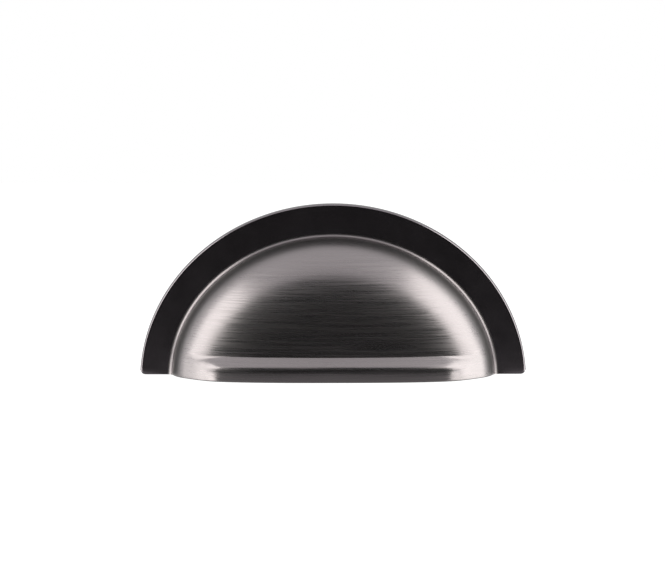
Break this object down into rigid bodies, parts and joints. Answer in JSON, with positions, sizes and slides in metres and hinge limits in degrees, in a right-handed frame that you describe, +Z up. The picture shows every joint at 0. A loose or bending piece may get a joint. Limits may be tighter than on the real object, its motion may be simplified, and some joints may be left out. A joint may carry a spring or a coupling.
{
  "type": "cup pull",
  "caption": "Half-round cup pull for a drawer or cabinet: flat back flange, hollow hood with a finger lip below, and threaded screw posts inside.",
  "frame": {"origin": "on the flange's back plane, midway between the axes of the screw holes", "axes": "+X to the viewer's right along the row of screw holes, +Y into the drawer front with the hood towards -Y, +Z up and away from the mouth"},
  "size_m": [0.1048, 0.0276, 0.0462],
  "materials": {
    "black_nickel": "brushed black nickel plating on cast zinc"
  },
  "bodies": {
    "root": {"cup_pull": "black_nickel"}
  },
  "joints": []
}
